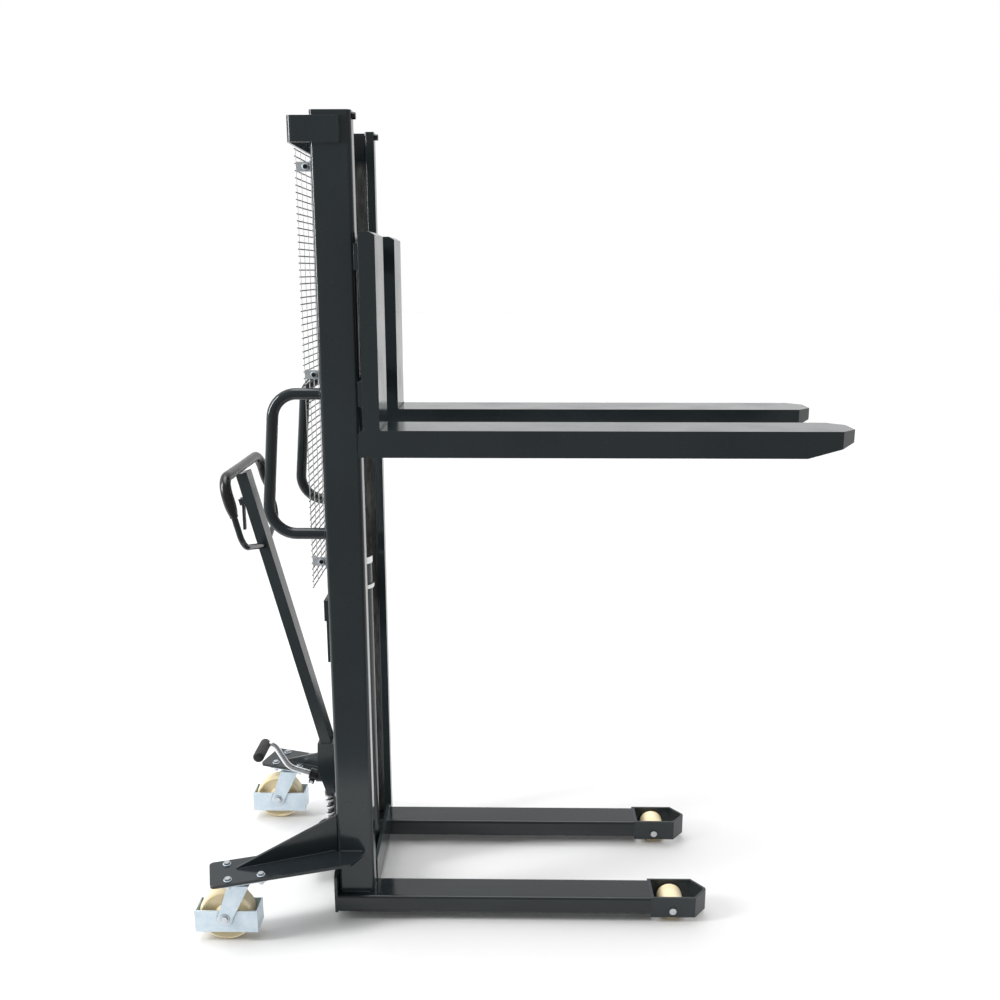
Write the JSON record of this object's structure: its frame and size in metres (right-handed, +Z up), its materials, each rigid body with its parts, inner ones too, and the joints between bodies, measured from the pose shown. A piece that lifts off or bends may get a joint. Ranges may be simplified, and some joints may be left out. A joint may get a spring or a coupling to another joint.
{
  "type": "hand pallet stacker",
  "caption": "Hand-operated hydraulic pallet stacker: two-column mast, chain-lifted forks over straddle legs, pump tiller with foot pedal, and guarded swivel casters.",
  "frame": {"origin": "on the floor, at the middle of the whole stacker's footprint box", "axes": "+X along the forks to their tips, +Y to the stacker's left side, +Z up"},
  "size_m": [1.663, 0.764, 2.092],
  "materials": {
    "dark_paint": "semi-gloss powder coat",
    "nylon": "cream cast nylon",
    "zinc_plate": "bright zinc plating",
    "bare_steel": "oiled steel",
    "chrome_rod": "hard chrome",
    "black_rubber": "ribbed rubber",
    "black_plastic": "moulded plastic"
  },
  "bodies": {
    "frame": {"base_beams": "dark_paint", "caster_bolts": "zinc_plate", "caster_plates": "zinc_plate", "cylinder_clamp": "zinc_plate", "cylinder_gland": "zinc_plate", "fixed_chain_strand": "bare_steel", "floor_plates": "dark_paint", "grab_handles": "dark_paint", "left_leg": "dark_paint", "left_mast_column": "dark_paint", "lift_cylinder": "dark_paint", "load_roller_axles": "zinc_plate", "mast_bolts": "bare_steel", "mesh_clips": "zinc_plate", "mesh_guard": "zinc_plate", "middle_beam": "dark_paint", "outrigger_gussets": "dark_paint", "outrigger_plates": "dark_paint", "pump_body": "dark_paint", "pump_spring": "bare_steel", "right_leg": "dark_paint", "right_mast_column": "dark_paint", "rocker_pivot_pin": "zinc_plate", "roller_pockets": "dark_paint", "top_beam": "dark_paint"},
    "lift_rod": {"piston_rod": "chrome_rod", "pulley_yoke": "dark_paint", "pulley_pin": "zinc_plate", "chain_bend": "bare_steel", "lift_chain_strand": "bare_steel"},
    "chain_wheel": {"chain_wheel": "bare_steel"},
    "carriage": {"right_fork": "dark_paint", "left_fork": "dark_paint", "carriage_bars": "dark_paint", "carriage_side_plates": "dark_paint", "mast_roller_axles": "zinc_plate"},
    "tiller": {"rocker": "dark_paint", "tiller_tube": "dark_paint", "handle_loop": "dark_paint", "handle_grips": "black_rubber", "head_cover": "black_plastic", "lever_pin": "zinc_plate", "pedal_bar": "chrome_rod", "pedal_grip": "black_rubber"},
    "release_lever": {"release_lever": "black_plastic"},
    "pump_plunger": {"pump_plunger": "bare_steel"},
    "right_caster": {"right_caster_fork": "zinc_plate", "right_caster_guard": "zinc_plate", "right_caster_axle": "zinc_plate"},
    "right_caster_wheel": {"right_caster_wheel": "nylon"},
    "right_load_roller": {"right_load_roller": "nylon"},
    "right_lower_mast_roller": {"right_lower_mast_roller": "bare_steel"},
    "right_upper_mast_roller": {"right_upper_mast_roller": "bare_steel"},
    "left_caster": {"left_caster_fork": "zinc_plate", "left_caster_guard": "zinc_plate", "left_caster_axle": "zinc_plate"},
    "left_caster_wheel": {"left_caster_wheel": "nylon"},
    "left_load_roller": {"left_load_roller": "nylon"},
    "left_lower_mast_roller": {"left_lower_mast_roller": "bare_steel"},
    "left_upper_mast_roller": {"left_upper_mast_roller": "bare_steel"}
  },
  "joints": [
    {"name": "lift_rod_slide", "type": "slide", "parent": "frame", "child": "lift_rod", "axis": [0, 0, 1], "range_m": [-0.6365, 0.1175], "deforming": ["fixed_chain_strand"]},
    {"name": "carriage_slide", "type": "slide", "parent": "lift_rod", "child": "carriage", "axis": [0, 0, 1], "range_m": [-0.6365, 0.1175], "deforming": ["lift_chain_strand"]},
    {"name": "chain_wheel_turn", "type": "hinge", "parent": "lift_rod", "child": "chain_wheel", "pos_m": [-0.4185, 0, 1.678], "axis": [0, 1, 0], "continuous": true},
    {"name": "right_lower_mast_roller_turn", "type": "hinge", "parent": "carriage", "child": "right_lower_mast_roller", "pos_m": [-0.4225, -0.191, 1.447], "axis": [0, 1, 0], "continuous": true},
    {"name": "right_upper_mast_roller_turn", "type": "hinge", "parent": "carriage", "child": "right_upper_mast_roller", "pos_m": [-0.4225, -0.191, 1.762], "axis": [0, 1, 0], "continuous": true},
    {"name": "left_lower_mast_roller_turn", "type": "hinge", "parent": "carriage", "child": "left_lower_mast_roller", "pos_m": [-0.4225, 0.191, 1.447], "axis": [0, 1, 0], "continuous": true},
    {"name": "left_upper_mast_roller_turn", "type": "hinge", "parent": "carriage", "child": "left_upper_mast_roller", "pos_m": [-0.4225, 0.191, 1.762], "axis": [0, 1, 0], "continuous": true},
    {"name": "tiller_pump", "type": "hinge", "parent": "frame", "child": "tiller", "pos_m": [-0.4985, 0, 0.266], "axis": [0, -1, 0], "range_deg": [0, 40], "stiffness_Nm_per_rad": 80, "springref_deg": -28.65},
    {"name": "plunger_slide", "type": "slide", "parent": "frame", "child": "pump_plunger", "axis": [0, 0, -1], "range_m": [0, 0.0185], "deforming": ["pump_spring"]},
    {"name": "release_lever_pull", "type": "hinge", "parent": "tiller", "child": "release_lever", "pos_m": [-0.73164, 0, 1.11952], "axis": [0, -1, 0], "range_deg": [-18, 0], "stiffness_Nm_per_rad": 0.6, "springref_deg": 17.19},
    {"name": "right_caster_swivel", "type": "hinge", "parent": "frame", "child": "right_caster", "pos_m": [-0.7025, -0.306, 0.165], "axis": [0, 0, 1], "continuous": true},
    {"name": "right_caster_wheel_turn", "type": "hinge", "parent": "right_caster", "child": "right_caster_wheel", "pos_m": [-0.7505, -0.306, 0.072], "axis": [0, 1, 0], "continuous": true},
    {"name": "right_load_roller_turn", "type": "hinge", "parent": "frame", "child": "right_load_roller", "pos_m": [0.4398, -0.193, 0.034], "axis": [0, 1, 0], "continuous": true},
    {"name": "left_caster_swivel", "type": "hinge", "parent": "frame", "child": "left_caster", "pos_m": [-0.7025, 0.306, 0.165], "axis": [0, 0, 1], "continuous": true},
    {"name": "left_caster_wheel_turn", "type": "hinge", "parent": "left_caster", "child": "left_caster_wheel", "pos_m": [-0.7505, 0.306, 0.072], "axis": [0, 1, 0], "continuous": true},
    {"name": "left_load_roller_turn", "type": "hinge", "parent": "frame", "child": "left_load_roller", "pos_m": [0.4398, 0.193, 0.034], "axis": [0, 1, 0], "continuous": true}
  ],
  "couplings": [
    {"joint": "carriage_slide", "follows": "lift_rod_slide", "ratio": 1},
    {"joint": "chain_wheel_turn", "follows": "lift_rod_slide", "rad_per_m": -24.096},
    {"joint": "plunger_slide", "follows": "tiller_pump", "m_per_rad": 0.026},
    {"joint": "right_lower_mast_roller_turn", "follows": "lift_rod_slide", "rad_per_m": -81.633},
    {"joint": "right_upper_mast_roller_turn", "follows": "lift_rod_slide", "rad_per_m": 81.633},
    {"joint": "left_lower_mast_roller_turn", "follows": "lift_rod_slide", "rad_per_m": -81.633},
    {"joint": "left_upper_mast_roller_turn", "follows": "lift_rod_slide", "rad_per_m": 81.633}
  ]
}
